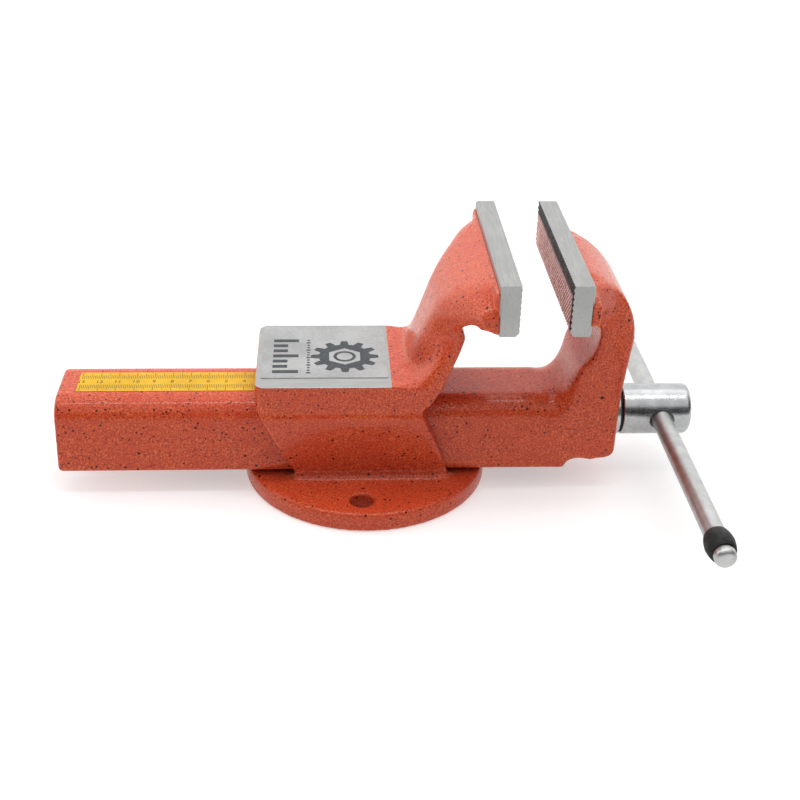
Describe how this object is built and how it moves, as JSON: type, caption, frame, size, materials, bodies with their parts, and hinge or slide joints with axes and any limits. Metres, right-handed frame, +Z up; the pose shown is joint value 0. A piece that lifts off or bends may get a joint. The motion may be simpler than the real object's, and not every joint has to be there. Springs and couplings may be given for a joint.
{
  "type": "bench vise",
  "caption": "Bench vise on a round bolted base: a U-section bar slides through the body, driven by a screw with a sliding bar handle; steel jaw plates and a flat anvil.",
  "frame": {"origin": "centre of the underside of the round base flange, on the bench surface", "axes": "+X along the screw towards the handle, +Y across the jaws, +Z up from the bench"},
  "size_m": [0.3552, 0.2552, 0.1398],
  "materials": {
    "casting_paint": "glossy orange paint with fine dark speckle",
    "jaw_steel": "ground, gripping face cross-cut",
    "chrome": "turned and chrome plated",
    "bar_steel": "drawn bar, satin zinc",
    "hardware_steel": "plain steel",
    "nut_iron": "machined cast iron",
    "bushing_brass": "turned bronze",
    "rubber": "matt black",
    "rule_yellow": "printed yellow rule",
    "label_silver": null
  },
  "bodies": {
    "vise_body": {"fixed_body": "casting_paint", "fixed_jaw_plate": "jaw_steel", "fixed_plate_pins": "hardware_steel", "spindle_nut": "nut_iron", "nut_bolts": "hardware_steel", "nut_bolt_washers": "hardware_steel", "anvil_label": "label_silver"},
    "sliding_jaw": {"moving_jaw": "casting_paint", "moving_jaw_plate": "jaw_steel", "moving_plate_pins": "hardware_steel", "screw_bushing": "bushing_brass", "scale_rule": "rule_yellow"},
    "screw": {"main_screw": "chrome", "thrust_washer": "chrome", "dust_seal": "rubber", "retaining_washer": "hardware_steel", "retaining_collar": "hardware_steel", "collar_pin": "hardware_steel"},
    "handle": {"handle_bar": "bar_steel", "near_end_knob": "bar_steel", "far_end_knob": "bar_steel", "near_bumper": "rubber", "far_bumper": "rubber"}
  },
  "joints": [
    {"name": "jaw_slide", "type": "slide", "parent": "vise_body", "child": "sliding_jaw", "axis": [1, 0, 0], "range_m": [-0.025, 0.1]},
    {"name": "screw_spin", "type": "hinge", "parent": "sliding_jaw", "child": "screw", "pos_m": [0.15, 0, 0.0363], "axis": [1, 0, 0], "range_deg": [-2260, 9010]},
    {"name": "handle_slide", "type": "slide", "parent": "screw", "child": "handle", "axis": [0, 1, 0], "range_m": [-0.073, 0.1125]}
  ],
  "couplings": [
    {"joint": "screw_spin", "follows": "jaw_slide", "rad_per_m": 1570.8}
  ]
}
